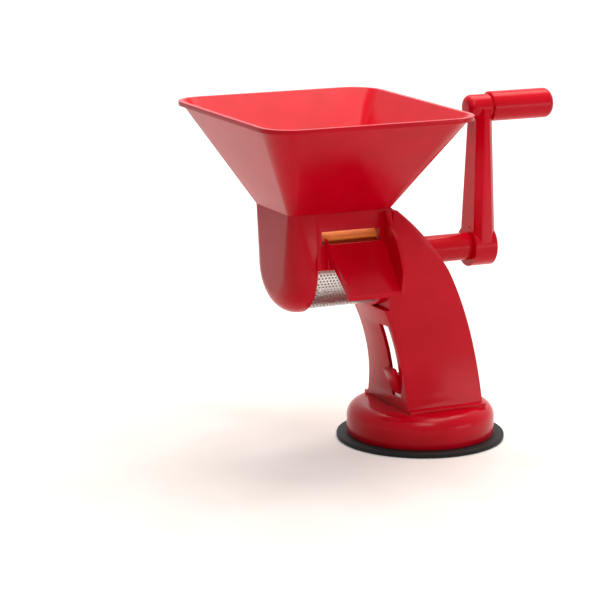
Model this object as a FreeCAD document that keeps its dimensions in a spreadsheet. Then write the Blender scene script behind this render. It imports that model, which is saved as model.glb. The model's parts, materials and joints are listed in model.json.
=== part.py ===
import FreeCAD, Part
import os
import re

import Sketcher
from FreeCAD import Placement, Rotation, Vector

# Hand-cranked tomato press: hopper, straining drum and crank on a column with a suction foot.
# Millimetres. The origin is on the table under the middle of the foot, +X runs along the shaft
# towards the crank, -Y is the side where the skins come out, +Z is up.

SIZES = {
    # Fits
    "running_gap": 0.05,
    "press_gap": 0.02,
    "side_gap": 0.3,
    # Shaft line
    "shaft_height": 160.0,
    "shaft_radius": 5.0,
    "bush_radius": 8.0,
    "bush_length": 18.0,
    "left_bush_length": 9.0,
    "flange_radius": 9.5,
    "flange_thickness": 2.0,
    # Suction cup and base housing
    "cup_radius": 70.5,
    "cup_rim": 4.6,
    "cup_web": 3.6,
    "cup_edge": 2.0,
    "cup_rim_width": 14.0,
    "cup_lip_round": 1.0,
    "cup_web_slope": 4.0,
    "base_radius": 62.0,
    "base_top": 31.5,
    "base_shoulder": 12.0,
    "base_wall": 3.0,
    # Column: two side arcs that rise upright from the foot and sweep left, and a waisted front
    "arc_height": 34.0,
    "foot_left": -31.0,
    "foot_right": 39.0,
    "left_sweep": 19.4,
    "right_sweep": 81.5,
    "column_wall": 3.0,
    "foot_depth": 41.0,
    "head_depth": 37.0,
    "waist_radius": 230.0,
    "head_start": 10.0,
    "head_rise": 43.0,
    "head_hollow": 30.0,
    "head_face": -46.0,
    "sleeve_radius": 11.5,
    "sleeve_end": 42.1,
    "boss_radius": 5.0,
    "boss_height": 16.0,
    "boss_inset": 7.0,
    "boss_depth_inset": 10.0,
    "plinth_lip": 1.5,
    "plinth_height": 3.0,
    # Drum
    "drum_half": 40.8,
    "drum_taper": 5.8,
    "drum_wall": 3.0,
    "drum_plate": 6.0,
    "throat_rise": 45.0,
    "screen_inset": 2.3,
    "screen_gauge": 1.0,
    "screen_flange": 2.0,
    "screen_hole_radius": 1.1,
    "ledge_width": 4.0,
    "ledge_depth": 3.0,
    "slot_left": -110.0,
    "slot_right": -58.0,
    "slot_low": 20.0,
    "slot_high": 30.5,
    # End cover
    "cover_left": -137.0,
    "cover_right": -115.0,
    "cover_wall": 3.0,
    "cover_round": 20.0,
    "cover_boss_radius": 11.0,
    "lug_radius": 4.0,
    "lug_rise": 33.0,
    "lug_length": 12.0,
    "lug_bite": 0.6,
    "bridge_inset": 1.0,
    # Hopper
    "hopper_rise": 80.0,
    "rim_length": 185.0,
    "rim_width": 207.0,
    "rim_corner": 27.0,
    "rim_bead": 1.2,
    "bead_height": 3.5,
    "throat_corner": 6.0,
    "hopper_wall": 2.5,
    "spigot_depth": 7.0,
    "spigot_wall": 2.0,
    "spigot_corner": 3.0,
    "hopper_overhang": 1.0,
    # Skin chute
    "chute_right": -50.0,
    "chute_taper": 6.0,
    "chute_reach": 75.0,
    "chute_lip_drop": 15.0,
    "chute_floor": 4.0,
    "chute_wall": 2.5,
    "chute_flange": 3.0,
    "chute_flange_low": 0.5,
    "chute_seat": 1.2,
    "rib_rise": 5.5,
    "cheek_rise": 43.5,
    "cheek_top_reach": 41.0,
    "cheek_neck_reach": 56.0,
    "cheek_neck_rise": 29.0,
    "cheek_neck_radius": 33.0,
    "cheek_reach": 78.5,
    "cheek_drop": 1.0,
    "cheek_radius": 50.0,
    # Rotor
    "core_radius": 24.0,
    "core_gap": 1.0,
    "slot_floor": 12.0,
    "paddle_thickness": 12.0,
    "paddle_end_gap": 1.0,
    "paddle_travel": 3.0,
    "paddle_tip_gap": 0.3,
    "paddle_angle": 45.0,
    "spring_radius": 2.4,
    "spring_wire": 0.8,
    "spring_seat": 7.5,
    "spring_pocket": 6.3,
    "spring_spacing": 28.0,
    "core_pin_radius": 2.0,
    "core_pin_offset": 6.0,
    "core_pin_inset": 1.0,
    "shaft_end_gap": 1.0,
    # Crank and grip
    "crank_radius": 116.7,
    "hub_length": 20.4,
    "hub_radius": 17.0,
    "arm_top_left": 46.0,
    "arm_top_right": 60.0,
    "arm_top_half": 12.3,
    "arm_chamfer": 5.0,
    "arm_root_half": 16.5,
    "boss_left": 39.6,
    "boss_right": 60.2,
    "crank_boss_radius": 10.6,
    "boss_dome": 5.0,
    "square_side": 7.6,
    "hub_recess": 4.0,
    "washer_radius": 8.0,
    "washer_thickness": 1.5,
    "thread_radius": 3.0,
    "nut_corner": 5.8,
    "nut_height": 5.0,
    "thread_spare": 1.0,
    "grip_end": 118.5,
    "grip_radius": 12.5,
    "grip_round": 5.5,
    "grip_edge": 1.0,
    "grip_pin_radius": 4.0,
    "grip_pin_seat": 17.0,
    "grip_pocket_radius": 6.5,
    "grip_pocket_depth": 12.0,
    "grip_cap_length": 6.0,
    "grip_cap_crown": 1.5,
    "ring_thickness": 1.2,
    "ring_radius": 6.0,
    "groove_depth": 0.6,
    # Suction lever and pull rod
    "lever_x": 12.0,
    "lever_height": 75.0,
    "lever_rest_angle": 25.0,
    "lever_pin_radius": 3.0,
    "lever_pin_bite": 5.0,
    "pivot_gap": 1.2,
    "lever_hub_radius": 5.5,
    "lever_front": -23.0,
    "lever_back": -10.0,
    "lever_reach": 52.0,
    "lever_thickness": 7.0,
    "tab_thickness": 6.0,
    "tab_drop": 9.0,
    "tab_rise": 13.0,
    "ear_front": 12.0,
    "ear_thickness": 3.0,
    "ear_half": 7.0,
    "lever_slot_low": 42.0,
    "lever_slot_high": 104.0,
    "lever_slot_gap": 1.5,
    "lever_slot_depth": 8.0,
    "cam_radius": 10.0,
    "cam_offset": 4.73,
    "cam_inner": 5.0,
    "cam_outer": 9.5,
    "rod_radius": 4.0,
    "rod_plate_radius": 14.0,
    "rod_plate": 2.5,
    "pull_washer_radius": 10.8,
    "pull_washer_thickness": 2.0,
    "pull_nut_corner": 7.5,
    "pull_nut_height": 6.0,
    # Screws
    "screw_radius": 1.6,
    "screw_head_radius": 3.2,
    "screw_head": 2.2,
    "screw_bite": 12.0,
    "screw_spare": 1.0,
    "thread_skin": 0.8,
    "plate_screw_y": 26.0,
    "plate_screw_rise": 24.0,
    "chute_screw_rise": 5.0,
    "chute_screw_inset": 10.0,
}

# Perforation: holes along the drum in each row, rows round the half circle, and their stagger in steps
HOLES_ALONG = 12
HOLE_ROWS = 15
ROW_SHIFTS = (0.75, 0.25)

# Places that several pieces share, written in the sheet's names
CORE_LEFT = "cover_left + cover_wall + left_bush_length + core_gap"
PLATE_FACE = "head_face - drum_plate"
CORE_RIGHT = PLATE_FACE + " - core_gap"
PADDLE_LEFT = "cover_right + ledge_width + paddle_end_gap"
PADDLE_RIGHT = PLATE_FACE + " - ledge_width - paddle_end_gap"
SCREEN_RADIUS = "(drum_half - screen_inset)"
SCREEN_INSIDE = SCREEN_RADIUS + " - screen_gauge"
PADDLE_TIP = SCREEN_INSIDE + " - paddle_tip_gap"
PADDLE_ROOT = "slot_floor + paddle_travel + side_gap"
HUB_LEFT = "sleeve_end + side_gap"
FLANGE_LEFT = "sleeve_end - flange_thickness"
HUB_RIGHT = HUB_LEFT + " + hub_length"
HUB_FLOOR = HUB_RIGHT + " - hub_recess"
GRIP_LEFT = "boss_right + side_gap"
PIN_SEAT = "boss_right - grip_pin_seat"
GRIP_POCKET = "grip_end - grip_pocket_depth"
COLUMN_TOP = "shaft_height + head_rise"
STEP_HEIGHT = "shaft_height - drum_half"
LEFT_RADIUS = "(left_sweep^2 + (%s - arc_height)^2) / (2 * left_sweep)" % STEP_HEIGHT
RIGHT_RADIUS = "(right_sweep^2 + (%s - arc_height)^2) / (2 * right_sweep)" % COLUMN_TOP
THROAT_HEIGHT = "shaft_height + throat_rise"
WASHER_HEIGHT = "lever_height - cam_offset * sin(lever_rest_angle) + cam_radius + side_gap"
DRUM_TOP_HALF = "(drum_half - drum_taper)"
FRONT_SLOPE = "drum_taper / throat_rise"
BELOW_BASE = "base_top - base_shoulder"
HOPPER_RIGHT = "head_face + hopper_overhang"
PIN_FRONT = "lever_front - lever_pin_bite"

ALONG_X = Rotation(Vector(1, 1, 1), 120)
ALONG_X_BELOW = Rotation(Vector(1, 0, 0), 180) * ALONG_X
ALONG_Y = Rotation(Vector(1, 0, 0), -90)
ALONG_Z = Rotation()
PLANE_TURN = {"XY": ALONG_Z, "XZ": Rotation(Vector(1, 0, 0), 90), "YZ": ALONG_X}
PLANE_NORMAL = {"XY": (Vector(0, 0, 1), "z"), "XZ": (Vector(0, 1, 0), "y"), "YZ": (Vector(1, 0, 0), "x")}

doc = FreeCAD.newDocument("tomato_press")
sheet = doc.addObject("Spreadsheet::Sheet", "Sizes")
nodes = []


def fill_sheet():
    for row, (alias, value) in enumerate(SIZES.items(), start=1):
        sheet.set("A%d" % row, alias)
        sheet.set("B%d" % row, str(value))
        sheet.setAlias("B%d" % row, alias)
    doc.recompute()


def bound(expression):
    """The expression with every size name pointing at its cell."""
    return re.sub(r"[a-z_]+", lambda m: "Sizes." + m.group() if m.group() in SIZES else m.group(), expression)


def number(expression):
    return float(sheet.evalExpression(bound(expression)))


def bind(item, **expressions):
    for name, expression in expressions.items():
        item.setExpression(name.replace("__", "."), bound(expression))
    return item


def put(item, at=("0", "0", "0"), turn=ALONG_Z):
    item.Placement = Placement(Vector(), turn)
    bind(item, Placement__Base__x=at[0], Placement__Base__y=at[1], Placement__Base__z=at[2])
    return item


def node(label, item, at=("0", "0", "0"), turn=ALONG_Z):
    """Give a finished piece its name and its place."""
    put(item, at, turn)
    item.Label = label
    nodes.append(item)
    return item


def rod(name, axis, radius, start, end, centre=("0", "0"), below=False):
    """A cylinder along one axis; below keeps only the half under the shaft line."""
    item = bind(doc.addObject("Part::Cylinder", name), Radius=radius, Height="(%s) - (%s)" % (end, start))
    if below:
        item.Angle = 180
    places = {"x": (start, *centre), "y": (centre[0], start, centre[1]), "z": (*centre, start)}
    turns = {"x": ALONG_X_BELOW if below else ALONG_X, "y": ALONG_Y, "z": ALONG_Z}
    return put(item, places[axis], turns[axis])


def block(name, x, y, z):
    item = doc.addObject("Part::Box", name)
    spans = ["(%s) - (%s)" % (high, low) for low, high in (x, y, z)]
    bind(item, Length=spans[0], Width=spans[1], Height=spans[2])
    return put(item, (x[0], y[0], z[0]))


def fuse(name, *items):
    item = doc.addObject("Part::MultiFuse", name)
    item.Shapes = list(items)
    item.Refine = True
    return item


def common(name, *items):
    item = doc.addObject("Part::MultiCommon", name)
    item.Shapes = list(items)
    return item


def cut(name, base, *tools):
    item = doc.addObject("Part::Cut", name)
    item.Base = base
    item.Tool = tools[0] if len(tools) == 1 else fuse(name + "_tools", *tools)
    item.Refine = True
    return item


def arc_between(start, end, radius, side):
    """An arc from start to end whose centre lies on the left (side 1) or right (side -1) of the way."""
    along = end - start
    half = along.Length / 2
    left = Vector(-along.y, along.x, 0).normalize()
    centre = (start + end) / 2 + left * side * max(radius * radius - half * half, 0.0) ** 0.5
    circle = Part.Circle(centre, Vector(0, 0, 1), radius)
    first, last = (start, end) if side > 0 else (end, start)
    return Part.ArcOfCircle(circle, circle.parameter(first), circle.parameter(last))


def draw(sketch, steps):
    """A closed outline: (u, v) ends a straight run, (u, v, radius, side) ends an arc."""
    points = [Vector(number(step[0]), number(step[1]), 0) for step in steps]
    ends = []
    for index, step in enumerate(steps):
        start, end = points[index - 1], points[index]
        if len(step) == 2:
            geometry = sketch.addGeometry(Part.LineSegment(start, end))
            ends.append((geometry, 1, 2))
        else:
            geometry = sketch.addGeometry(arc_between(start, end, number(step[2]), step[3]))
            ends.append((geometry, 1, 2) if step[3] > 0 else (geometry, 2, 1))
    for index, step in enumerate(steps):
        geometry, begin, finish = ends[index]
        following, next_begin, _ = ends[(index + 1) % len(steps)]
        sketch.addConstraint(Sketcher.Constraint("Coincident", geometry, finish, following, next_begin))
        limits = [("DistanceX", step[0], "x"), ("DistanceY", step[1], "y")]
        for kind, expression, axis in limits:
            value = getattr(points[index], axis)
            place = sketch.addConstraint(Sketcher.Constraint(kind, -1, 1, geometry, finish, value))
            sketch.setExpression("Constraints[%d]" % place, bound(expression))
        if len(step) > 2:
            place = sketch.addConstraint(Sketcher.Constraint("Radius", geometry, number(step[2])))
            sketch.setExpression("Constraints[%d]" % place, bound(step[2]))
    return sketch


def outline(name, plane, steps, level="0"):
    sketch = draw(doc.addObject("Sketcher::SketchObject", name), steps)
    axis = PLANE_NORMAL[plane][1]
    return put(sketch, [level if letter == axis else "0" for letter in "xyz"], PLANE_TURN[plane])


def slab(name, plane, steps, start, end):
    """The outline drawn out along its plane's axis from start to end."""
    item = doc.addObject("Part::Extrusion", name)
    item.Base = outline(name + "_outline", plane, steps, start)
    item.DirMode = "Custom"
    item.Dir = PLANE_NORMAL[plane][0]
    item.Solid = True
    return bind(item, LengthFwd="(%s) - (%s)" % (end, start))


def loft(name, lower, lower_level, upper, upper_level):
    item = doc.addObject("Part::Loft", name)
    item.Sections = [outline(name + "_lower", "XY", lower, lower_level),
                     outline(name + "_upper", "XY", upper, upper_level)]
    item.Solid = True
    item.Ruled = True
    return item


def turned(name, axis, steps):
    """A body turned about X, from (x, radius) points, or about Z, from (radius, z) points."""
    body = doc.addObject("PartDesign::Body", name)
    sketch = body.newObject("Sketcher::SketchObject", name + "_profile")
    plane = [item for item in body.Origin.OriginFeatures if item.Role == "XZ_Plane"][0]
    sketch.AttachmentSupport = [(plane, "")]
    sketch.MapMode = "FlatFace"
    draw(sketch, steps)
    turn = body.newObject("PartDesign::Revolution", name + "_turn")
    turn.Profile = sketch
    turn.ReferenceAxis = (sketch, ["H_Axis" if axis == "x" else "V_Axis"])
    turn.Angle = 360
    body.Tip = turn
    return body


def bushing(name, inner, outer, start, end):
    return turned(name, "x", [(start, inner), (end, inner), (end, outer), (start, outer)])


def rounded_rectangle(left, right, half_width, corner):
    front = "-(%s)" % half_width
    low_x, high_x = "(%s) + %s" % (left, corner), "(%s) - (%s)" % (right, corner)
    low_y, high_y = "(%s) + %s" % (front, corner), "(%s) - (%s)" % (half_width, corner)
    return [(low_x, front, corner, 1), (high_x, front), (right, low_y, corner, 1), (right, high_y),
            (high_x, half_width, corner, 1), (low_x, half_width), (left, high_y, corner, 1), (left, low_y)]


def screws(name, axis, heads, length):
    """Pan-head screws: each head is (start of head, start of shank, centre), pointing along +axis."""
    pieces = []
    for index, (head, seat, centre) in enumerate(heads):
        stem = "%s_%d" % (name, index)
        pieces.append(rod(stem + "_head", axis, "screw_head_radius", head, seat, centre))
        pieces.append(rod(stem + "_shank", axis, "screw_radius", seat, "(%s) + %s" % (seat, length), centre))
    return fuse(name, *pieces)


def hex_nut(name, axis, corner, bore, start, height, centre=("0", "0")):
    prism = bind(doc.addObject("Part::Prism", name + "_hex"), Circumradius=corner, Height=height)
    prism.Polygon = 6
    places = {"x": (start, *centre), "z": (*centre, start)}
    put(prism, places[axis], {"x": ALONG_X, "z": ALONG_Z}[axis])
    return cut(name, prism, rod(name + "_bore", axis, bore, start, "(%s) + %s" % (start, height), centre))


# Suction foot

def base_dome(name, inset):
    """The dome of the base housing, or its hollow when inset by the wall."""
    radius = "base_radius - (%s)" % inset
    top = "base_top - (%s)" % inset
    shoulder = "base_shoulder - (%s)" % inset
    return turned(name, "z", [
        ("0", "cup_rim"),
        (radius, "cup_rim"),
        (radius, BELOW_BASE),
        ("base_radius - base_shoulder", top, shoulder, 1),
        ("0", top)])


def foot_boss_centres():
    xs = ("foot_left + boss_inset", "foot_right - boss_inset")
    ys = ("-(foot_depth - boss_depth_inset)", "foot_depth - boss_depth_inset")
    return [(x, y) for x in xs for y in ys]


def make_base():
    under = "base_top - base_wall"
    holes = [rod("base_rod_hole", "z", "rod_radius + side_gap", under, "base_top")]
    for index, centre in enumerate(foot_boss_centres()):
        holes.append(rod("base_screw_hole_%d" % index, "z", "screw_radius + press_gap", under, "base_top",
                         centre))
    hollow = base_dome("base_hollow", "base_wall")
    node("base_housing", cut("base", base_dome("base_outer", "0"), hollow, *holes))
    heads = [(under + " - screw_head", under, centre) for centre in foot_boss_centres()]
    node("base_screws", screws("base_screw_set", "z", heads, "screw_bite + base_wall"))


def make_cup():
    inner = "base_radius - cup_rim_width"
    node("suction_cup", turned("cup", "z", [
        ("0", "0"),
        ("cup_radius - cup_edge", "0"),
        ("cup_radius", "cup_edge", "cup_edge", 1),
        ("cup_radius", "cup_rim - cup_lip_round"),
        ("cup_radius - cup_lip_round", "cup_rim", "cup_lip_round", 1),
        (inner, "cup_rim"),
        (inner + " - cup_web_slope", "cup_web"),
        ("0", "cup_web")]))


# Column

def column_side(name, wall, top, low):
    """The column seen from the front, or its hollow when drawn in by the wall."""
    left, right = "(%s + (%s))" % (LEFT_RADIUS, wall), "(%s - (%s))" % (RIGHT_RADIUS, wall)
    left_centre, right_centre = "foot_left - " + LEFT_RADIUS, "foot_right - " + RIGHT_RADIUS
    foot_left, foot_right = "foot_left + (%s)" % wall, "foot_right - (%s)" % wall
    face = "head_face + (%s)" % wall
    top_right = "%s + sqrt(%s^2 - (%s - arc_height)^2)" % (right_centre, right, top)
    steps = [(foot_left, low), (foot_right, low), (foot_right, "arc_height"), (top_right, top, right, 1),
             (face, top)]
    if wall == "0":
        steps += [(face, STEP_HEIGHT), ("foot_left - left_sweep", STEP_HEIGHT)]
    else:
        steps += [(face, "arc_height + sqrt(%s^2 - (%s - (%s))^2)" % (left, face, left_centre))]
    steps.append((foot_left, "arc_height", left, -1))
    return slab(name, "XZ", steps, "-2 * foot_depth", "2 * foot_depth")


def column_front(name, wall, low, back_open):
    """The waisted front and back edges of the column, seen along the shaft."""
    foot = "foot_depth - (%s)" % wall
    head = "head_depth - (%s)" % wall
    turn = "shaft_height - head_start"
    steps = [("-(%s)" % foot, low), ("-(%s)" % head, turn, "waist_radius", 1), ("-(%s)" % head, COLUMN_TOP)]
    if back_open:
        steps += [("2 * foot_depth", COLUMN_TOP), ("2 * foot_depth", low)]
    else:
        steps += [(head, COLUMN_TOP), (head, turn), (foot, low, "waist_radius", 1)]
    start, end = "foot_left - foot_depth", "foot_right + column_wall"
    return slab(name, "YZ", list(reversed_outline(steps)), start, end)


def reversed_outline(steps):
    """The same outline walked the other way round."""
    count = len(steps)
    for index in range(count - 1, -1, -1):
        arc = steps[(index + 1) % count][2:]
        yield (*steps[index][:2], *(arc and (arc[0], -arc[1])))


def make_pedestal():
    outer = common("column_outer", column_side("column_side", "0", COLUMN_TOP, BELOW_BASE),
                   column_front("column_front", "0", BELOW_BASE, False))
    hollow = common("column_hollow",
                    column_side("hollow_side", "column_wall", "shaft_height + head_hollow", BELOW_BASE),
                    column_front("hollow_front", "column_wall", BELOW_BASE, True))
    pivot = ("lever_x", "lever_height")
    on_shaft = ("0", "shaft_height")
    ear_back = "ear_front + ear_thickness"
    inside = [block("lever_ear", ("lever_x - ear_half", "foot_right"), ("ear_front", ear_back),
                    ("lever_height - ear_half", "lever_height + ear_half")),
              rod("pivot_boss", "y", "ear_half", "-foot_depth", "lever_front - pivot_gap", pivot)]
    for index, centre in enumerate(foot_boss_centres()):
        inside.append(rod("foot_boss_%d" % index, "z", "boss_radius", BELOW_BASE, "base_top + boss_height",
                          centre))
    fittings = common("column_fittings", outer, fuse("column_inside", *inside))
    sleeve = rod("sleeve", "x", "sleeve_radius", "head_face", "sleeve_end", on_shaft)
    plinth_half = "foot_depth + plinth_lip"
    plinth = block("plinth", ("foot_left", "foot_right"), ("-(%s)" % plinth_half, plinth_half),
                   (BELOW_BASE, "base_top + plinth_height"))
    walls = cut("column_walls", fuse("column_solid", outer, plinth), hollow)
    shell = fuse("column_shell", walls, fittings, sleeve)
    holes = [base_dome("column_seat", "0"),
             rod("sleeve_bore", "x", "bush_radius + press_gap", "head_face", "sleeve_end", on_shaft),
             rod("sleeve_recess", "x", "flange_radius + press_gap", FLANGE_LEFT, "sleeve_end", on_shaft),
             rod("pin_hole", "y", "lever_pin_radius + press_gap", PIN_FRONT, ear_back, pivot),
             block("lever_slot", ("foot_left - foot_depth", "foot_left + lever_slot_depth"),
                   ("lever_front - lever_slot_gap", "lever_back + lever_slot_gap"),
                   ("lever_slot_low", "lever_slot_high"))]
    for index, centre in enumerate(foot_boss_centres()):
        holes.append(rod("boss_hole_%d" % index, "z", "screw_radius + press_gap", "base_top",
                         "base_top + screw_bite + screw_spare", centre))
    for index, centre in enumerate(plate_screw_centres("shaft_height + ")):
        holes.append(rod("plate_hole_%d" % index, "x", "screw_radius + press_gap", "head_face",
                         "head_face + column_wall", centre))
    node("pedestal", cut("column", shell, *holes))
    node("lever_pin", rod("lever_pivot_pin", "y", "lever_pin_radius", PIN_FRONT, ear_back),
         ("lever_x", PIN_FRONT, "lever_height"), ALONG_Y)


def plate_screw_centres(level=""):
    return [(y, level + z) for y in ("-plate_screw_y", "plate_screw_y")
            for z in ("plate_screw_rise", "(-plate_screw_rise)")]


# Straining drum, with heights measured from the shaft line

AT_SHAFT = ("0", "0", "shaft_height")


def front_wall(rise, out="0"):
    """How far forward the drum's front wall stands at a height above the shaft."""
    return "-(drum_half - %s * (%s) + (%s))" % (FRONT_SLOPE, rise, out)


def lug_centres():
    reach = "drum_half - %s * lug_rise - drum_wall - lug_radius + lug_bite" % FRONT_SLOPE
    return [("-(%s)" % reach, "lug_rise"), (reach, "lug_rise")]


def half_ring(name, outer, inner, start, end):
    return cut(name, rod(name + "_outer", "x", outer, start, end, below=True),
               rod(name + "_inner", "x", inner, start, end, below=True))


def drum_section(wall):
    bottom, top = "drum_half - (%s)" % wall, "%s - (%s)" % (DRUM_TOP_HALF, wall)
    return [("-(%s)" % bottom, "0"), (bottom, "0"), (top, "throat_rise"), ("-(%s)" % top, "throat_rise")]


def make_drum_housing():
    walls = cut("drum_walls", slab("drum_outer", "YZ", drum_section("0"), "cover_right", "head_face"),
                slab("drum_inner", "YZ", drum_section("drum_wall"), "cover_right", PLATE_FACE))
    lugs = [rod("drum_lug_%d" % index, "x", "lug_radius", "cover_right", "cover_right + lug_length", centre)
            for index, centre in enumerate(lug_centres())]
    body = fuse("drum_body", walls, *lugs,
                rod("drum_plate_lower", "x", "drum_half", PLATE_FACE, "head_face", below=True),
                half_ring("drum_ledge", SCREEN_INSIDE + " - press_gap", SCREEN_INSIDE + " - ledge_depth",
                          PLATE_FACE + " - ledge_width", PLATE_FACE))
    holes = [rod("drum_bush_hole", "x", "bush_radius + press_gap", PLATE_FACE, "head_face"),
             block("skin_slot", ("slot_left", "slot_right"), ("-2 * drum_half", "-drum_half / 2"),
                   ("slot_low", "slot_high"))]
    for index, centre in enumerate(plate_screw_centres()):
        holes.append(rod("drum_screw_hole_%d" % index, "x", "screw_radius + press_gap",
                         PLATE_FACE + " + screw_spare", "head_face", centre))
    for index, centre in enumerate(lug_centres()):
        holes.append(rod("drum_lug_hole_%d" % index, "x", "screw_radius + press_gap", "cover_right",
                         "cover_right + lug_length", centre))
    for index, x in enumerate(chute_screw_places()):
        holes.append(rod("chute_thread_%d" % index, "y", "screw_radius + press_gap",
                         front_wall("chute_screw_rise", "screw_radius"),
                         front_wall("chute_screw_rise", "thread_skin - drum_wall"),
                         (x, "chute_screw_rise")))
    node("drum_housing", cut("drum", body, *holes), AT_SHAFT)
    seat, shank_end = "head_face + column_wall", PLATE_FACE + " + 2 * screw_spare"
    heads = []
    for index, centre in enumerate(plate_screw_centres("shaft_height + ")):
        stem = "housing_screw_%d" % index
        heads.append(rod(stem + "_head", "x", "screw_head_radius", seat, seat + " + screw_head", centre))
        heads.append(rod(stem + "_shank", "x", "screw_radius", shank_end, seat, centre))
    node("housing_screws", fuse("housing_screw_set", *heads))


def cover_solid(name, wall):
    """The end cover's rounded end: a turned lower half under a loft up to the hopper's throat."""
    left = "cover_left + (%s)" % wall
    half, top_half = "drum_half - (%s)" % wall, "%s - (%s)" % (DRUM_TOP_HALF, wall)
    sections = []
    for reach, corner in ((half, "cover_round - (%s)" % wall), (top_half, "throat_corner - (%s)" % wall)):
        inset = "%s + %s" % (left, corner)
        sections.append([("cover_right", "-(%s)" % reach), (inset, "-(%s)" % reach),
                         (left, "-(%s) + %s" % (reach, corner), corner, -1),
                         (left, "%s - (%s)" % (reach, corner)),
                         (inset, reach, corner, -1), ("cover_right", reach)])
    upper = loft(name + "_upper", sections[0], "0", sections[1], "throat_rise")
    lower = doc.addObject("Part::Revolution", name + "_lower")
    lower.Source = outline(name + "_profile", "XY", [("cover_right", "0")] + sections[0][:3] + [(left, "0")])
    lower.Axis = Vector(1, 0, 0)
    lower.Angle = 180
    lower.Solid = True
    return fuse(name, upper, lower)


def make_end_cover():
    inside_left = "cover_left + cover_wall"
    bush_right = inside_left + " + left_bush_length"
    outer = cover_solid("cover_outer", "0")
    shell = cut("cover_shell", outer, cover_solid("cover_inner", "cover_wall"))
    lugs = [rod("cover_lug_%d" % index, "x", "lug_radius", inside_left, "cover_right", centre)
            for index, centre in enumerate(lug_centres())]
    fittings = [rod("cover_boss", "x", "cover_boss_radius", inside_left, bush_right),
                *lugs,
                half_ring("cover_ledge", SCREEN_INSIDE + " - press_gap", SCREEN_INSIDE + " - ledge_depth",
                          "cover_right - cover_wall", "cover_right + ledge_width")]
    bridge = half_ring("cover_bridge", "drum_half - bridge_inset", SCREEN_INSIDE + " - ledge_depth",
                       "cover_right - cover_wall", "cover_right")
    holes = [rod("cover_bore", "x", "bush_radius + press_gap", inside_left, bush_right)]
    for index, centre in enumerate(lug_centres()):
        holes.append(rod("cover_screw_hole_%d" % index, "x", "screw_radius + press_gap",
                         "cover_right - screw_bite", "cover_right", centre))
    node("end_cover", cut("cover", fuse("cover_body", shell, bridge, *fittings), *holes), AT_SHAFT)
    seat, shank_end = "cover_right + lug_length", "cover_right - screw_bite + screw_spare"
    heads = []
    for index, centre in enumerate(lug_centres()):
        stem = "cover_screw_%d" % index
        heads.append(rod(stem + "_head", "x", "screw_head_radius", seat, seat + " + screw_head", centre))
        heads.append(rod(stem + "_shank", "x", "screw_radius", shank_end, seat, centre))
    node("cover_screws", fuse("cover_screw_set", *heads), AT_SHAFT)


def make_screen():
    """A steel half cylinder with staggered rows of round holes and a flange along each top edge."""
    ring = half_ring("screen_ring", SCREEN_RADIUS, SCREEN_INSIDE, "cover_right", PLATE_FACE)
    reach = SCREEN_RADIUS + " + screen_flange"
    spans = (("-(%s)" % reach, "-(%s)" % SCREEN_INSIDE), (SCREEN_INSIDE, reach))
    flanges = [block("screen_flange_%d" % side, ("cover_right", PLATE_FACE), span, ("-screen_gauge", "0"))
               for side, span in enumerate(spans)]
    left, right = number("cover_right + ledge_width"), number(PLATE_FACE + " - ledge_width")
    step = (right - left) / HOLES_ALONG
    inside, through = number(SCREEN_INSIDE + " - screen_gauge"), number("3 * screen_gauge")
    radius = number("screen_hole_radius")
    drills = []
    for row in range(HOLE_ROWS):
        turn = Rotation(Vector(1, 0, 0), (row + 1) * 180 / (HOLE_ROWS + 1) - 90)
        shift = ROW_SHIFTS[row % 2]
        for along in range(HOLES_ALONG):
            start = turn.multVec(Vector(left + (along + shift) * step, 0, -inside))
            drills.append(Part.makeCylinder(radius, through, start, turn.multVec(Vector(0, 0, -1))))
    perforation = doc.addObject("Part::Feature", "screen_perforation")
    perforation.Shape = Part.makeCompound(drills)
    node("strainer_screen", cut("screen", fuse("screen_blank", ring, *flanges), perforation), AT_SHAFT)


# Hopper and chute

def make_hopper():
    middle = "(cover_left + %s) / 2" % HOPPER_RIGHT
    rim_half, width_half = "rim_length / 2", "rim_width / 2"
    inner_rim = "rim_bead + hopper_wall"

    def rim(inset):
        return rounded_rectangle("%s - (%s - (%s))" % (middle, rim_half, inset),
                                 "%s + (%s - (%s))" % (middle, rim_half, inset),
                                 "%s - (%s)" % (width_half, inset), "(rim_corner - (%s))" % inset)

    def spigot(inset, corner):
        return rounded_rectangle("cover_left + cover_wall + side_gap + (%s)" % inset,
                                 PLATE_FACE + " - side_gap - (%s)" % inset,
                                 DRUM_TOP_HALF + " - drum_wall - side_gap - (%s)" % inset, corner)

    throat = rounded_rectangle("cover_left", HOPPER_RIGHT, DRUM_TOP_HALF, "throat_corner")
    outer = fuse("hopper_outer", loft("hopper_skin", throat, "0", rim("rim_bead"), "hopper_rise"),
                 slab("hopper_bead", "XY", rim("0"), "hopper_rise - bead_height", "hopper_rise"),
                 slab("hopper_spigot", "XY", spigot("0", "spigot_corner"), "-spigot_depth", "0"))
    mouth = spigot("spigot_wall", "(spigot_corner - spigot_wall)")
    node("hopper", cut("hopper_shell", outer,
                       loft("hopper_hollow", mouth, "0", rim(inner_rim), "hopper_rise"),
                       slab("hopper_mouth", "XY", mouth, "-spigot_depth", "0")), ("0", "0", THROAT_HEIGHT))


def chute_screw_places():
    return ("slot_left + chute_screw_inset", "chute_right - chute_screw_inset")


def floor_level(reach, below="0"):
    """The height of the sloping chute floor, or of a line below it, at a distance in front of the shaft."""
    root = "(drum_half - %s * slot_low)" % FRONT_SLOPE
    slope = "(slot_low + chute_lip_drop) / (chute_reach - %s)" % root
    return "slot_low - %s * (%s - %s) - (%s)" % (slope, reach, root, below)


def chute_plan(name, back_left, back_right, tip_left, tip_right):
    """A straight-sided outline of the chute seen from above, over its full height."""
    back, tip = "-drum_half / 2", "-cheek_reach"
    return slab(name, "XY", [(back_left, back), (tip_left, tip), (tip_right, tip), (back_right, back)],
                "-drum_half", "throat_rise")


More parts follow.
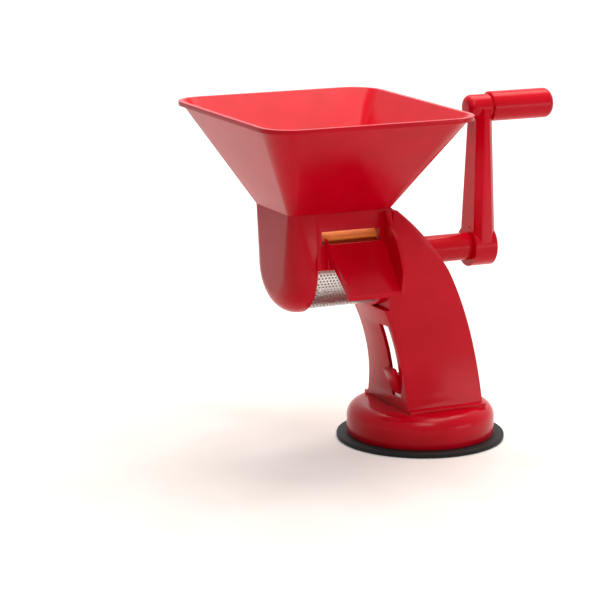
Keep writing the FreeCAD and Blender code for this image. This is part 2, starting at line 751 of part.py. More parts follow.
def make_chute():
    lip, face = "-chute_reach", "-(drum_half + chute_flange)"
    tip_left, tip_right = "slot_left + chute_taper", "chute_right - chute_taper"
    under = [(lip, "-chute_lip_drop - chute_floor"),
             (face, floor_level("(drum_half + chute_flange)", "chute_floor"))]
    flange = [(face, "chute_flange_low"), (front_wall("chute_flange_low"), "chute_flange_low")]
    profiles = {
        "floor": [(front_wall("slot_low"), "slot_low"), (lip, "-chute_lip_drop")],
        "cheek": [(front_wall("cheek_rise"), "cheek_rise"), ("-cheek_top_reach", "cheek_rise"),
                  ("-cheek_neck_reach", "cheek_neck_rise", "cheek_neck_radius", -1),
                  ("-cheek_reach", "-cheek_drop", "cheek_radius", 1)],
        "rib": [(front_wall("slot_low + rib_rise"), "slot_low + rib_rise"),
                (lip, "rib_rise - chute_lip_drop")]}
    plans = {
        "floor": ("slot_left", "chute_right", tip_left, tip_right),
        "cheek": ("chute_right - chute_wall", "chute_right", tip_right + " - chute_wall", tip_right),
        "rib": ("slot_left", "slot_left + chute_wall", tip_left, tip_left + " + chute_wall")}
    walls = []
    for part, profile in profiles.items():
        side = slab("chute_%s_side" % part, "YZ", profile + under + flange, "slot_left", "chute_right")
        walls.append(common("chute_" + part, side, chute_plan("chute_%s_plan" % part, *plans[part])))
    seat = front_wall("chute_screw_rise", "chute_seat")
    holes = []
    heads = []
    for index, x in enumerate(chute_screw_places()):
        centre = (x, "chute_screw_rise")
        holes.append(rod("chute_counterbore_%d" % index, "y", "screw_head_radius + press_gap",
                         face + " - screw_spare", seat, centre))
        holes.append(rod("chute_hole_%d" % index, "y", "screw_radius + press_gap", seat, "-drum_half / 2",
                         centre))
        heads.append((seat + " - screw_head", seat, centre))
    node("skin_chute", cut("chute", fuse("chute_body", *walls), *holes), AT_SHAFT)
    length = "chute_seat + drum_wall - screw_spare"
    node("chute_screws", screws("chute_screw_set", "y", heads, length), AT_SHAFT)


# Rotor, built with its paddles upright and then turned to its rest angle

PADDLE_TURN = Rotation(Vector(1, 0, 0), SIZES["paddle_angle"])
OPPOSITE_TURN = Rotation(Vector(1, 0, 0), SIZES["paddle_angle"] + 180)


def spring_places():
    middle = "((%s) + (%s)) / 2" % (PADDLE_LEFT, PADDLE_RIGHT)
    return (middle + " - spring_spacing / 2", middle + " + spring_spacing / 2")


def make_rotor():
    pin_x = CORE_LEFT + " + core_pin_offset"
    half_slot = "paddle_thickness / 2 + side_gap"
    slot_x = (PADDLE_LEFT + " - side_gap", PADDLE_RIGHT + " + side_gap")
    slot_y = ("-(%s)" % half_slot, half_slot)
    cuts = [rod("core_bore", "x", "shaft_radius + press_gap", CORE_LEFT, CORE_RIGHT),
            rod("core_pin_bore", "z", "core_pin_radius + press_gap", "-core_radius", "core_radius",
                (pin_x, "0")),
            block("core_slot_up", slot_x, slot_y, ("slot_floor", "2 * core_radius")),
            block("core_slot_down", slot_x, slot_y, ("-2 * core_radius", "-slot_floor"))]
    spans = (("spring_seat", "slot_floor"), ("-slot_floor", "-spring_seat"))
    for index, x in enumerate(spring_places()):
        for side, (low, high) in enumerate(spans):
            hole = "core_spring_hole_%d%d" % (index, side)
            cuts.append(rod(hole, "z", "spring_radius + side_gap", low, high, (x, "0")))
    core = rod("core_blank", "x", "core_radius", CORE_LEFT, CORE_RIGHT)
    node("rotor_core", cut("core", core, *cuts), AT_SHAFT, PADDLE_TURN)
    thread_end = HUB_FLOOR + " + washer_thickness + nut_height + thread_spare"
    bar = rod("shaft_bar", "x", "shaft_radius", "cover_left + cover_wall + shaft_end_gap", HUB_LEFT)
    square = block("shaft_square", (HUB_LEFT, HUB_FLOOR), ("-square_side / 2", "square_side / 2"),
                   ("-square_side / 2", "square_side / 2"))
    thread = rod("shaft_thread", "x", "thread_radius", HUB_FLOOR, thread_end)
    pin_bores = []
    for side, turn in (("up", PADDLE_TURN), ("down", OPPOSITE_TURN)):
        bore = doc.addObject("Part::Cylinder", "shaft_pin_bore_" + side)
        bind(bore, Radius="core_pin_radius + press_gap", Height="2 * shaft_radius")
        pin_bores.append(put(bore, (pin_x, "0", "0"), turn))
    node("rotor_shaft", cut("shaft", fuse("shaft_blank", bar, square, thread), *pin_bores), AT_SHAFT)
    low, high = "core_pin_inset - core_radius", "core_radius - core_pin_inset"
    pin = turned("core_pin_bar", "z", [
        ("0", low), ("core_pin_radius", low), ("core_pin_radius", high), ("0", high)])
    node("core_pin", pin, (pin_x, "0", "shaft_height"), PADDLE_TURN)


def make_paddle(letter, turn):
    name = "paddle_" + letter
    half = "paddle_thickness / 2"
    blank = block(name + "_blank", (PADDLE_LEFT, PADDLE_RIGHT), ("-" + half, half), (PADDLE_ROOT, PADDLE_TIP))
    board = common(name + "_board", blank, rod(name + "_sweep", "x", PADDLE_TIP, PADDLE_LEFT, PADDLE_RIGHT))
    pockets = [rod("%s_pocket_%d" % (name, index), "z", "spring_radius + side_gap", PADDLE_ROOT,
                   PADDLE_ROOT + " + spring_pocket", (x, "0")) for index, x in enumerate(spring_places())]
    node(name, cut(name + "_piece", board, *pockets), AT_SHAFT, turn)
    top = PADDLE_ROOT + " + spring_pocket - paddle_travel - side_gap"
    eye_radius = "spring_radius - spring_wire"
    springs = [cut("%s_spring_%d" % (name, index),
                   rod("%s_coil_%d" % (name, index), "z", "spring_radius", "spring_seat", top, (x, "0")),
                   rod("%s_eye_%d" % (name, index), "z", eye_radius, "spring_seat", top, (x, "0")))
               for index, x in enumerate(spring_places())]
    node("paddle_springs_" + letter, fuse(name + "_springs", *springs), AT_SHAFT, turn)


def make_bushes():
    bore = "shaft_radius + running_gap"
    left = "cover_left + cover_wall"
    spans = {"left_bush": (left, left + " + left_bush_length"),
             "inner_bush": (PLATE_FACE, PLATE_FACE + " + bush_length")}
    for label, (start, end) in spans.items():
        node(label, bushing(label + "_ring", bore, "bush_radius", start, end), AT_SHAFT)
    node("outer_bush", turned("outer_bush_ring", "x", [
        ("sleeve_end - bush_length", bore), ("sleeve_end", bore), ("sleeve_end", "flange_radius"),
        (FLANGE_LEFT, "flange_radius"), (FLANGE_LEFT, "bush_radius"),
        ("sleeve_end - bush_length", "bush_radius")]), AT_SHAFT)


# Crank, standing straight up at rest

AT_GRIP = ("0", "0", "shaft_height + crank_radius")


def octagon(left, right, half):
    cut_in = "arm_chamfer"
    return [("(%s) + %s" % (left, cut_in), "-(%s)" % half), ("(%s) - %s" % (right, cut_in), "-(%s)" % half),
            (right, "-(%s) + %s" % (half, cut_in)), (right, "%s - %s" % (half, cut_in)),
            ("(%s) - %s" % (right, cut_in), half), ("(%s) + %s" % (left, cut_in), half),
            (left, "%s - %s" % (half, cut_in)), (left, "-(%s) + %s" % (half, cut_in))]


def make_crank():
    arm = loft("arm", octagon(HUB_LEFT, HUB_RIGHT, "arm_root_half"), "0",
               octagon("arm_top_left", "arm_top_right", "arm_top_half"), "crank_radius")
    hub = rod("hub", "x", "hub_radius", HUB_LEFT, HUB_RIGHT)
    boss = put(turned("crank_boss", "x", [
        ("boss_left", "0"), ("boss_right", "0"), ("boss_right", "crank_boss_radius"),
        ("boss_left + boss_dome", "crank_boss_radius"),
        ("boss_left", "crank_boss_radius - boss_dome", "boss_dome", 1)]), ("0", "0", "crank_radius"))
    half = "square_side / 2 + press_gap"
    holes = [block("hub_square", (HUB_LEFT, HUB_FLOOR), ("-(%s)" % half, half), ("-(%s)" % half, half)),
             rod("hub_pocket", "x", "washer_radius + side_gap", HUB_FLOOR, HUB_RIGHT),
             rod("grip_pin_hole", "x", "grip_pin_radius + press_gap", PIN_SEAT, "boss_right",
                 ("0", "crank_radius"))]
    node("crank_arm", cut("crank", fuse("crank_body", arm, hub, boss), *holes), AT_SHAFT)
    node("crank_washer", bushing("crank_washer_ring", "thread_radius + press_gap", "washer_radius", HUB_FLOOR,
                                 HUB_FLOOR + " + washer_thickness"), AT_SHAFT)
    node("crank_nut", hex_nut("crank_nut_piece", "x", "nut_corner", "thread_radius + press_gap",
                              HUB_FLOOR + " + washer_thickness", "nut_height"), AT_SHAFT)


def make_grip():
    node("grip", turned("grip_body", "x", [
        (GRIP_LEFT, "grip_pin_radius + running_gap"),
        (GRIP_POCKET, "grip_pin_radius + running_gap"),
        (GRIP_POCKET, "grip_pocket_radius + press_gap"),
        ("grip_end", "grip_pocket_radius + press_gap"),
        ("grip_end", "grip_radius - grip_round"),
        ("grip_end - grip_round", "grip_radius", "grip_round", 1),
        (GRIP_LEFT + " + grip_edge", "grip_radius"),
        (GRIP_LEFT, "grip_radius - grip_edge")]), AT_GRIP)
    crown_radius = "(grip_pocket_radius^2 + grip_cap_crown^2) / (2 * grip_cap_crown)"
    node("grip_cap", turned("grip_cap_plug", "x", [
        ("grip_end - grip_cap_length", "0"), ("grip_end + grip_cap_crown", "0"),
        ("grip_end", "grip_pocket_radius", crown_radius, 1),
        ("grip_end - grip_cap_length", "grip_pocket_radius")]), AT_GRIP)
    ring_left = GRIP_POCKET + " + side_gap"
    pin_end = ring_left + " + 2 * ring_thickness"
    groove = "grip_pin_radius - groove_depth"
    node("grip_pin", turned("grip_pin_bar", "x", [
        (PIN_SEAT, "0"), (pin_end, "0"), (pin_end, "grip_pin_radius"),
        (ring_left + " + ring_thickness + press_gap", "grip_pin_radius"),
        (ring_left + " + ring_thickness + press_gap", groove),
        (ring_left + " - press_gap", groove), (ring_left + " - press_gap", "grip_pin_radius"),
        (PIN_SEAT, "grip_pin_radius")]), AT_GRIP)
    node("grip_ring", bushing("grip_ring_piece", groove + " + press_gap", "ring_radius", ring_left,
                              ring_left + " + ring_thickness"), AT_GRIP)


# Suction lever, drawn level and then turned down to its rest angle

def make_lever():
    width = ("lever_front", "lever_back")
    hub = rod("lever_hub", "y", "lever_hub_radius", "lever_front - side_gap", "ear_front - side_gap")
    arm = block("lever_arm", ("-lever_reach", "0"), width, ("-lever_thickness / 2", "lever_thickness / 2"))
    tab = block("lever_tab", ("-lever_reach", "tab_thickness - lever_reach"), width,
                ("-tab_drop", "tab_rise"))
    cams = [rod("lever_cam_%d" % index, "y", "cam_radius", low, high, ("-cam_offset", "0"))
            for index, (low, high) in enumerate((("-cam_outer", "-cam_inner"), ("cam_inner", "cam_outer")))]
    bore = rod("lever_bore", "y", "lever_pin_radius + running_gap", PIN_FRONT, "ear_front")
    node("suction_lever", cut("lever", fuse("lever_body", hub, arm, tab, *cams), bore),
         ("lever_x", "0", "lever_height"), Rotation(Vector(0, 1, 0), -SIZES["lever_rest_angle"]))


def make_pull_rod():
    nut_low = WASHER_HEIGHT + " + pull_washer_thickness"
    plate_top = "cup_web + rod_plate"
    rod_end = nut_low + " + pull_nut_height + thread_spare"
    node("pull_rod", turned("pull_rod_bar", "z", [
        ("0", "cup_web"), ("rod_plate_radius", "cup_web"), ("rod_plate_radius", plate_top),
        ("rod_radius", plate_top), ("rod_radius", rod_end), ("0", rod_end)]))
    node("pull_washer", turned("pull_washer_ring", "z", [
        ("rod_radius + press_gap", WASHER_HEIGHT), ("pull_washer_radius", WASHER_HEIGHT),
        ("pull_washer_radius", nut_low), ("rod_radius + press_gap", nut_low)]))
    node("pull_nut", hex_nut("pull_nut_piece", "z", "pull_nut_corner", "rod_radius + press_gap", nut_low,
                             "pull_nut_height"))


def write_parts():
    doc.recompute()
    for item in doc.Objects:
        if "Invalid" in item.State or "Error" in item.State:
            raise RuntimeError("%s did not build: %s" % (item.Label, item.State))
    os.makedirs("parts", exist_ok=True)
    for item in nodes:
        if item.Shape.isNull() or not item.Shape.isValid() or not item.Shape.Solids:
            raise RuntimeError("%s has no sound shape" % item.Label)
    for item in nodes:
        item.Shape.exportStep("parts/%s.step" % item.Label)
        print("%-18s %2d solids %10.1f mm3" % (item.Label, len(item.Shape.Solids), item.Shape.Volume))


fill_sheet()
make_base()
make_cup()
make_pedestal()
make_drum_housing()
make_end_cover()
make_screen()
make_hopper()
make_chute()
make_rotor()
make_paddle("a", PADDLE_TURN)
make_paddle("b", OPPOSITE_TURN)
make_bushes()
make_crank()
make_grip()
make_lever()
make_pull_rod()
write_parts()
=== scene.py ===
import json
import math

import bmesh
import bpy
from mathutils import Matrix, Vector


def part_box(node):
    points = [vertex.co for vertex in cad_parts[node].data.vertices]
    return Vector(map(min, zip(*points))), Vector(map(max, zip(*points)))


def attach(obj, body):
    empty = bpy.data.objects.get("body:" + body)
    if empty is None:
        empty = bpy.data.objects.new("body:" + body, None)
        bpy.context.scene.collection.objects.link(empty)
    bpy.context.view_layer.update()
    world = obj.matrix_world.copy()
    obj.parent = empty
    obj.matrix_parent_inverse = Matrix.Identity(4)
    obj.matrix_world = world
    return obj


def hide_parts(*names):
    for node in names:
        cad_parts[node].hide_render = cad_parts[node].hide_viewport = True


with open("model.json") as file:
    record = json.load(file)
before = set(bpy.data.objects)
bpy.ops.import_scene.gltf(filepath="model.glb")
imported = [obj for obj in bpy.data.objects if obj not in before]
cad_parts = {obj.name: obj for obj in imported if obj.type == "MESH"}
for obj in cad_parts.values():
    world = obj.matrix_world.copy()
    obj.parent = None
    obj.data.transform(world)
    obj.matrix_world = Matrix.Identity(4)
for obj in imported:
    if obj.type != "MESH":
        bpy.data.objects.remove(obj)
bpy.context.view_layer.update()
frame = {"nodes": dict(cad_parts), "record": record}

MM = 0.001

# Camera, from the vanishing lines of the hopper rim and the foot, in metres and degrees
CAMERA_AT = Vector((-0.9676, -1.8193, 0.5746))
CAMERA_YAW = -25.19
CAMERA_PITCH = 12.52
CAMERA_LENS = 151.6
SENSOR = 36.0

# Perforated sheet: round holes in staggered rows
HOLE_RADIUS = 0.9 * MM
HOLE_PITCH = 3.0 * MM
HOLE_SIDES = 10
SCREEN_GAUGE = 1.0 * MM

# Vertices closer than WELD are one; edges closer than NEAR to a line lie on it
WELD = 0.002 * MM
NEAR = 0.1 * MM

# Moulded edges: sharper than this is an edge, flatter than this is one face, shorter than this stays sharp
EDGE_ANGLE = math.radians(32)
FLAT_ANGLE = math.radians(0.5)
SHORT_EDGE = 2.0 * MM
EDGE_SEGMENTS = 3

# Studio, in metres: the table's half width, and the near and far ends of its own white with their strengths
TABLE_HALF = 4.0
GLOW_FROM, GLOW_TO = 0.3, 1.5
GLOW_NEAR, GLOW_FAR = 0.15, 0.95

# Strength of the room's light on the object, and of the white that the background shows
ROOM_FILL = 0.03
BACKGROUND_WHITE = 1.0
WHITE = (1.0, 1.0, 1.0, 1.0)

# Soft boxes: name, place, aim and size in metres, watts, colour
SOFT_BOXES = [
    ("top_box", (0.1, 0.2, 1.3), (-0.05, 0.0, 0.1), (1.2, 1.2), 23, "#FFF5EC"),
    ("front_box", (-0.25, -0.8, 1.15), (-0.05, 0.0, 0.15), (0.5, 0.5), 5.5, "#FFF7F0"),
    ("low_box", (0.95, -1.1, 0.2), (-0.05, 0.0, 0.15), (0.7, 0.35), 2, "#FFFFFF"),
]


# Shader building

def linear(hex_colour):
    """An sRGB hex colour as linear RGBA."""
    channels = [int(hex_colour[i:i + 2], 16) / 255 for i in (1, 3, 5)]
    return [c / 12.92 if c <= 0.04045 else ((c + 0.055) / 1.055) ** 2.4 for c in channels] + [1.0]


def add(tree, kind, inputs=None, **settings):
    """A node of that kind, with its settings, and its inputs set to values or linked to sockets."""
    made = tree.nodes.new(kind)
    for name, value in settings.items():
        setattr(made, name, value)
    for name, value in (inputs or {}).items():
        socket = made.inputs[name]
        if isinstance(value, bpy.types.NodeSocket):
            tree.links.new(value, socket)
        else:
            socket.default_value = value
    return made


def blank(name):
    """A new material, its tree, its shader and its Object coordinates."""
    material = bpy.data.materials.new(name)
    material.use_nodes = True
    tree = material.node_tree
    shader = tree.nodes["Principled BSDF"]
    place = add(tree, "ShaderNodeTexCoord").outputs["Object"]
    return material, tree, shader, place


def per_mm(size):
    """Texture scale at which one feature is that many millimetres across."""
    return 1.0 / (size * MM)


def ramp(tree, factor, stops):
    """A colour ramp over that factor; stops are (position, sRGB hex)."""
    made = add(tree, "ShaderNodeValToRGB", {"Fac": factor})
    elements = made.color_ramp.elements
    while len(elements) < len(stops):
        elements.new(0.5)
    for element, (position, colour) in zip(elements, stops):
        element.position = position
        element.color = linear(colour)
    return made.outputs["Color"]


def glossy_red_abs(name, dark, light, roughness):
    """Injection-moulded ABS, polished mould: deep even red, soft highlights, faint flow and rub marks."""
    material, tree, shader, place = blank(name)
    flow = add(tree, "ShaderNodeTexNoise", {"Vector": place, "Scale": per_mm(38), "Detail": 3.0,
                                            "Roughness": 0.55})
    tone = ramp(tree, flow.outputs["Fac"], [(0.3, dark), (0.7, light)])
    tree.links.new(tone, shader.inputs["Base Color"])
    rubbed = add(tree, "ShaderNodeTexNoise", {"Vector": place, "Scale": per_mm(9), "Detail": 5.0,
                                              "Roughness": 0.65})
    gloss = add(tree, "ShaderNodeMapRange", {"Value": rubbed.outputs["Fac"], "From Min": 0.35,
                                             "From Max": 0.7, "To Min": roughness * 0.85,
                                             "To Max": roughness * 1.25})
    tree.links.new(gloss.outputs["Result"], shader.inputs["Roughness"])
    peel = add(tree, "ShaderNodeTexNoise", {"Vector": place, "Scale": per_mm(5), "Detail": 2.0})
    bump = add(tree, "ShaderNodeBump", {"Height": peel.outputs["Fac"], "Strength": 0.06,
                                        "Distance": 0.3 * MM})
    tree.links.new(bump.outputs["Normal"], shader.inputs["Normal"])
    shader.inputs["IOR"].default_value = 1.53
    shader.inputs["Specular IOR Level"].default_value = 0.14
    return material


def black_rubber():
    """Moulded black rubber: near black, dull, with a fine mould bloom that greys it in patches."""
    material, tree, shader, place = blank("black_rubber")
    bloom = add(tree, "ShaderNodeTexNoise", {"Vector": place, "Scale": per_mm(14), "Detail": 6.0,
                                             "Roughness": 0.7})
    tone = ramp(tree, bloom.outputs["Fac"], [(0.35, "#0B0B0C"), (0.75, "#1D1C1C")])
    tree.links.new(tone, shader.inputs["Base Color"])
    grain = add(tree, "ShaderNodeTexNoise", {"Vector": place, "Scale": per_mm(1.2), "Detail": 2.0})
    bump = add(tree, "ShaderNodeBump", {"Height": grain.outputs["Fac"], "Strength": 0.15,
                                        "Distance": 0.2 * MM})
    tree.links.new(bump.outputs["Normal"], shader.inputs["Normal"])
    shader.inputs["Roughness"].default_value = 0.6
    shader.inputs["Specular IOR Level"].default_value = 0.25
    return material


def brushed_steel(name, dark, light, roughness, grain_mm):
    """Rolled steel: a grey metal with fine rolling lines along the shaft that stretch its highlights."""
    material, tree, shader, place = blank(name)
    drawn = add(tree, "ShaderNodeMapping", {"Vector": place, "Scale": (0.04, 1.0, 1.0)})
    lines = add(tree, "ShaderNodeTexNoise", {"Vector": drawn.outputs["Vector"], "Scale": per_mm(grain_mm),
                                             "Detail": 4.0})
    tone = ramp(tree, lines.outputs["Fac"], [(0.3, dark), (0.7, light)])
    tree.links.new(tone, shader.inputs["Base Color"])
    gloss = add(tree, "ShaderNodeMapRange", {"Value": lines.outputs["Fac"], "From Min": 0.3,
                                             "From Max": 0.7, "To Min": roughness * 0.8,
                                             "To Max": roughness * 1.3})
    tree.links.new(gloss.outputs["Result"], shader.inputs["Roughness"])
    shader.inputs["Metallic"].default_value = 1.0
    return material


def natural_nylon():
    """Moulded natural nylon: milky off-white, waxy, with a little cloudiness."""
    material, tree, shader, place = blank("natural_nylon")
    cloud = add(tree, "ShaderNodeTexNoise", {"Vector": place, "Scale": per_mm(20), "Detail": 3.0})
    tone = ramp(tree, cloud.outputs["Fac"], [(0.3, "#D9D2C0"), (0.7, "#EAE5D8")])
    tree.links.new(tone, shader.inputs["Base Color"])
    grain = add(tree, "ShaderNodeTexNoise", {"Vector": place, "Scale": per_mm(1.5), "Detail": 2.0})
    bump = add(tree, "ShaderNodeBump", {"Height": grain.outputs["Fac"], "Strength": 0.08,
                                        "Distance": 0.2 * MM})
    tree.links.new(bump.outputs["Normal"], shader.inputs["Normal"])
    shader.inputs["Roughness"].default_value = 0.42
    return material


def oiled_beech():
    """Oiled beech, grain along the paddle: warm orange-brown with fine darker lines and short flecks."""
    material, tree, shader, place = blank("oiled_beech")
    along = add(tree, "ShaderNodeMapping", {"Vector": place, "Scale": (0.05, 1.0, 1.0)})
    grain = add(tree, "ShaderNodeTexNoise", {"Vector": along.outputs["Vector"], "Scale": per_mm(2.2),
                                             "Detail": 6.0, "Roughness": 0.6})
    tone = ramp(tree, grain.outputs["Fac"], [(0.25, "#C4560E"), (0.5, "#E8801E"), (0.75, "#F69A34")])
    fleck_place = add(tree, "ShaderNodeMapping", {"Vector": place, "Scale": (0.25, 1.0, 1.0)})
    fleck = add(tree, "ShaderNodeTexNoise", {"Vector": fleck_place.outputs["Vector"], "Scale": per_mm(0.8),
                                             "Detail": 2.0})
    dark = add(tree, "ShaderNodeMapRange", {"Value": fleck.outputs["Fac"], "From Min": 0.6, "From Max": 0.72,
                                            "To Min": 0.0, "To Max": 0.55})
    mixed = add(tree, "ShaderNodeMixRGB", {"Fac": dark.outputs["Result"], "Color1": tone,
                                           "Color2": linear("#8A4414")})
    tree.links.new(mixed.outputs["Color"], shader.inputs["Base Color"])
    bump = add(tree, "ShaderNodeBump", {"Height": grain.outputs["Fac"], "Strength": 0.2,
                                        "Distance": 0.3 * MM})
    tree.links.new(bump.outputs["Normal"], shader.inputs["Normal"])
    shader.inputs["Roughness"].default_value = 0.5
    return material


MATERIALS = {
    "red_abs": glossy_red_abs("glossy_red_abs", "#C60019", "#D40022", 0.2),
    "black_rubber": black_rubber(),
    "zinc_steel": brushed_steel("zinc_plated_steel", "#8E9296", "#B9BCC0", 0.34, 0.5),
    "screen_steel": brushed_steel("stainless_sheet", "#C4C4C2", "#E2E2E0", 0.3, 0.6),
    "nylon": natural_nylon(),
    "beech": oiled_beech(),
}


# Pieces

def slots_by_node():
    return {part["node"]: part["material_slot"] for part in frame["record"]["subparts"]}


def body_by_node():
    return {node: body for body, nodes in frame["record"]["behaviour"]["bodies"].items() for node in nodes}


SLOT_OF = slots_by_node()
BODY_OF = body_by_node()


def finish_piece(name, mesh, node):
    """A piece that stands for a CAD node: named, dressed in the node's finish, riding on its body."""
    piece = bpy.data.objects.new(name, mesh)
    bpy.context.scene.collection.objects.link(piece)
    mesh.materials.clear()
    mesh.materials.append(MATERIALS[SLOT_OF[node]])
    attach(piece, BODY_OF[node])
    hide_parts(node)


def shade(shape):
    """Smooth shading, broken at the edges that are still sharp."""
    for face in shape.faces:
        face.smooth = True
    for edge in shape.edges:
        edge.smooth = edge.calc_face_angle(0.0) < EDGE_ANGLE


def eased(node, width):
    """The node's own shape with its long outer edges rounded, as a mould or a file leaves them."""
    shape = bmesh.new()
    shape.from_mesh(frame["nodes"][node].data)
    bmesh.ops.remove_doubles(shape, verts=shape.verts, dist=WELD)
    bmesh.ops.dissolve_limit(shape, angle_limit=FLAT_ANGLE, verts=shape.verts, edges=shape.edges)
    outer = [edge for edge in shape.edges if edge.is_convex and edge.calc_length() > SHORT_EDGE
             and edge.calc_face_angle(0.0) > EDGE_ANGLE]
    bmesh.ops.bevel(shape, geom=outer, offset=width, offset_type="OFFSET", segments=EDGE_SEGMENTS,
                    profile=0.5, affect="EDGES", clamp_overlap=True, material=-1)
    shade(shape)
    mesh = bpy.data.meshes.new(node + "_eased")
    shape.to_mesh(mesh)
    shape.free()
    finish_piece(node + "_eased", mesh, node)


def perforated_cell(shape):
    """One brick of the sheet, HOLE_PITCH wide, with a round hole in the middle."""
    wide, tall = HOLE_PITCH / 2, HOLE_PITCH * math.sqrt(3) / 4
    corners = [(-wide, -tall), (0, -tall), (wide, -tall), (wide, tall), (0, tall), (-wide, tall)]
    rim = [shape.verts.new((x, y, 0)) for x, y in corners]
    edges = [shape.edges.new((rim[i - 1], rim[i])) for i in range(len(rim))]
    hole = bmesh.ops.create_circle(shape, segments=HOLE_SIDES, radius=HOLE_RADIUS)["verts"]
    edges += list({edge for vert in hole for edge in vert.link_edges})
    bmesh.ops.triangle_fill(shape, edges=edges, use_beauty=True)


def draw_out(flat, axis, start, end):
    """Carries the sheet's open edges at one place along an axis out to another place."""
    edges = [edge for edge in flat.edges if edge.is_boundary
             and all(abs(vert.co[axis] - start) < NEAR for vert in edge.verts)]
    made = bmesh.ops.extrude_edge_only(flat, edges=edges)["geom"]
    for vert in (item for item in made if isinstance(item, bmesh.types.BMVert)):
        vert.co[axis] = end
    bmesh.ops.remove_doubles(flat, verts=flat.verts, dist=WELD)


def perforated_blank(low, high, arc):
    """The flat sheet: staggered rows of holes with a plain margin, X along the drum and Y along the arc."""
    row_step = HOLE_PITCH * math.sqrt(3) / 2
    rows = int(arc / row_step)
    columns = int((high - low) / HOLE_PITCH - 1)
    flat = bmesh.new()
    perforated_cell(flat)
    cell = list(flat.verts) + list(flat.edges) + list(flat.faces)
    for row in range(rows):
        for column in range(columns):
            if row == 0 and column == 0:
                continue
            copy = bmesh.ops.duplicate(flat, geom=cell)
            moved = [item for item in copy["geom"] if isinstance(item, bmesh.types.BMVert)]
            shift = Vector(((column + 0.5 * (row % 2)) * HOLE_PITCH, row * row_step, 0))
            bmesh.ops.translate(flat, verts=moved, vec=shift)
    bmesh.ops.remove_doubles(flat, verts=flat.verts, dist=WELD)
    spread = (columns + 0.5) * HOLE_PITCH
    left, near = (low + high - spread) / 2, (arc - rows * row_step) / 2
    right, far = left + spread, near + rows * row_step
    bmesh.ops.translate(flat, verts=flat.verts, vec=(left + HOLE_PITCH / 2, near + row_step / 2, 0))
    stagger = HOLE_PITCH / 2
    for start, end in ((left + stagger, left), (left, low), (right - stagger, right), (right, high)):
        draw_out(flat, 0, start, end)
    for start, end in ((near, 0.0), (far, arc)):
        draw_out(flat, 1, start, end)
    return flat


def strainer_sheet():
    """The half-cylinder screen with its full perforation, bent from a flat sheet and given its gauge."""
    low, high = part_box("strainer_screen")
    radius = high.z - low.z
    arc = math.pi * radius
    sheet = perforated_blank(low.x, high.x, arc)
    for vert in sheet.verts:
        turn = math.pi * vert.co.y / arc
        vert.co = Vector((vert.co.x, -radius * math.cos(turn), high.z - radius * math.sin(turn)))
    inner = bmesh.ops.extrude_face_region(sheet, geom=list(sheet.faces), use_keep_orig=True)["geom"]
    shrink = (radius - SCREEN_GAUGE) / radius
    for vert in (item for item in inner if isinstance(item, bmesh.types.BMVert)):
        vert.co = Vector((vert.co.x, vert.co.y * shrink, high.z + (vert.co.z - high.z) * shrink))
    bmesh.ops.recalc_face_normals(sheet, faces=list(sheet.faces))
    width = high.y - radius + SCREEN_GAUGE
    for side in (-1, 1):
        flange = bmesh.ops.create_cube(sheet, size=1.0)["verts"]
        bmesh.ops.scale(sheet, verts=flange, vec=(high.x - low.x, width, SCREEN_GAUGE))
        middle = Vector(((low.x + high.x) / 2, side * (high.y - width / 2), high.z - SCREEN_GAUGE / 2))
        bmesh.ops.translate(sheet, verts=flange, vec=middle)
    mesh = bpy.data.meshes.new("strainer_sheet")
    sheet.to_mesh(mesh)
    sheet.free()
    finish_piece("strainer_sheet", mesh, "strainer_screen")


# Which pieces have eased edges, and by how much
EASED = {
    "hopper": 0.7 * MM,
    "pedestal": 0.7 * MM,
    "drum_housing": 0.5 * MM,
    "end_cover": 0.5 * MM,
    "skin_chute": 0.4 * MM,
    "base_housing": 0.6 * MM,
    "crank_arm": 2.4 * MM,
    "suction_lever": 1.0 * MM,
    "paddle_a": 0.8 * MM,
    "paddle_b": 0.8 * MM,
}


def dress():
    for node, width in EASED.items():
        eased(node, width)
    strainer_sheet()
    for name, node in frame["nodes"].items():
        node.data.materials.clear()
        node.data.materials.append(MATERIALS[SLOT_OF[name]])


# Studio

def background_rays(tree):
    """1 for the rays that show the background: seen straight, mirrored or through a clear piece."""
    path = add(tree, "ShaderNodeLightPath")
    shown = path.outputs["Is Camera Ray"]
    for kind in ("Is Glossy Ray", "Is Transmission Ray"):
        either = add(tree, "ShaderNodeMath", {0: shown, 1: path.outputs[kind]}, operation="MAXIMUM")
        shown = either.outputs["Value"]
    return shown


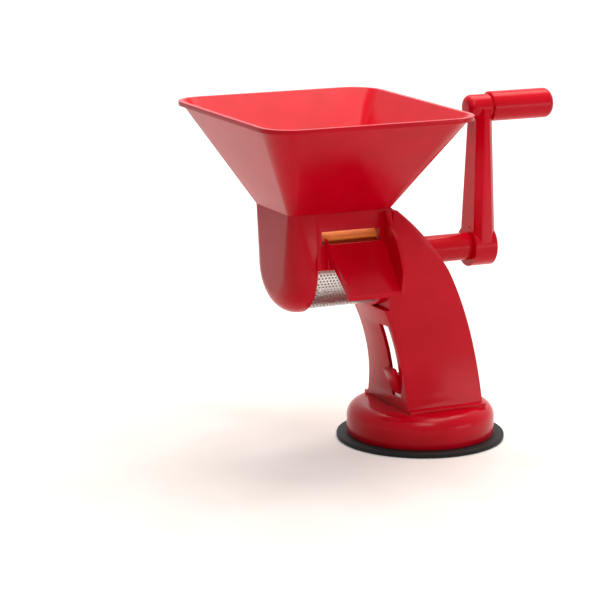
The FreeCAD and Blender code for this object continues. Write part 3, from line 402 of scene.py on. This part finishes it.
def pale_table():
    """Pale matt table: its own white grows away from the object, as the lamps fall off; shadows stay."""
    material, tree, shader, place = blank("pale_table")
    speck = add(tree, "ShaderNodeTexNoise", {"Vector": place, "Scale": per_mm(60), "Detail": 2.0})
    tone = ramp(tree, speck.outputs["Fac"], [(0.3, "#F6F6F4"), (0.7, "#FFFFFF")])
    tree.links.new(tone, shader.inputs["Base Color"])
    away = add(tree, "ShaderNodeVectorMath", {0: place}, operation="LENGTH")
    glow = add(tree, "ShaderNodeMapRange", {"Value": away.outputs["Value"], "From Min": GLOW_FROM,
                                            "From Max": GLOW_TO, "To Min": GLOW_NEAR, "To Max": GLOW_FAR})
    strength = add(tree, "ShaderNodeMath", {0: background_rays(tree), 1: glow.outputs["Result"]},
                   operation="MULTIPLY")
    tree.links.new(strength.outputs["Value"], shader.inputs["Emission Strength"])
    shader.inputs["Emission Color"].default_value = WHITE
    shader.inputs["Roughness"].default_value = 0.9
    return material


def make_floor():
    flat = bmesh.new()
    bmesh.ops.create_grid(flat, x_segments=2, y_segments=2, size=TABLE_HALF)
    mesh = bpy.data.meshes.new("floor")
    flat.to_mesh(mesh)
    flat.free()
    floor = bpy.data.objects.new("floor", mesh)
    bpy.context.scene.collection.objects.link(floor)
    mesh.materials.append(pale_table())


def make_world():
    world = bpy.data.worlds.new("studio")
    bpy.context.scene.world = world
    world.use_nodes = True
    tree = world.node_tree
    tree.nodes.clear()
    fill = add(tree, "ShaderNodeBackground", {"Color": WHITE, "Strength": ROOM_FILL})
    white = add(tree, "ShaderNodeBackground", {"Color": WHITE, "Strength": BACKGROUND_WHITE})
    mixed = add(tree, "ShaderNodeMixShader", {0: background_rays(tree), 1: fill.outputs["Background"],
                                              2: white.outputs["Background"]})
    add(tree, "ShaderNodeOutputWorld", {"Surface": mixed.outputs["Shader"]})


def soft_box(name, place, aim, size, power, colour):
    lamp = bpy.data.lights.new(name, "AREA")
    lamp.shape = "RECTANGLE"
    lamp.size, lamp.size_y = size
    lamp.energy = power
    lamp.color = linear(colour)[:3]
    item = bpy.data.objects.new(name, lamp)
    bpy.context.scene.collection.objects.link(item)
    item.location = place
    item.rotation_euler = (Vector(aim) - Vector(place)).to_track_quat("-Z", "Y").to_euler()


def make_camera():
    lens = bpy.data.cameras.new("photo_view")
    lens.lens = CAMERA_LENS
    lens.sensor_width = SENSOR
    lens.clip_end = 50.0
    item = bpy.data.objects.new("photo_view", lens)
    bpy.context.scene.collection.objects.link(item)
    item.location = CAMERA_AT
    item.rotation_euler = (math.radians(90 - CAMERA_PITCH), 0.0, math.radians(CAMERA_YAW))
    bpy.context.scene.camera = item


def light_studio():
    for box in SOFT_BOXES:
        soft_box(*box)


make_camera()
make_floor()
make_world()
light_studio()
dress()

bpy.context.scene.view_settings.view_transform = "Standard"
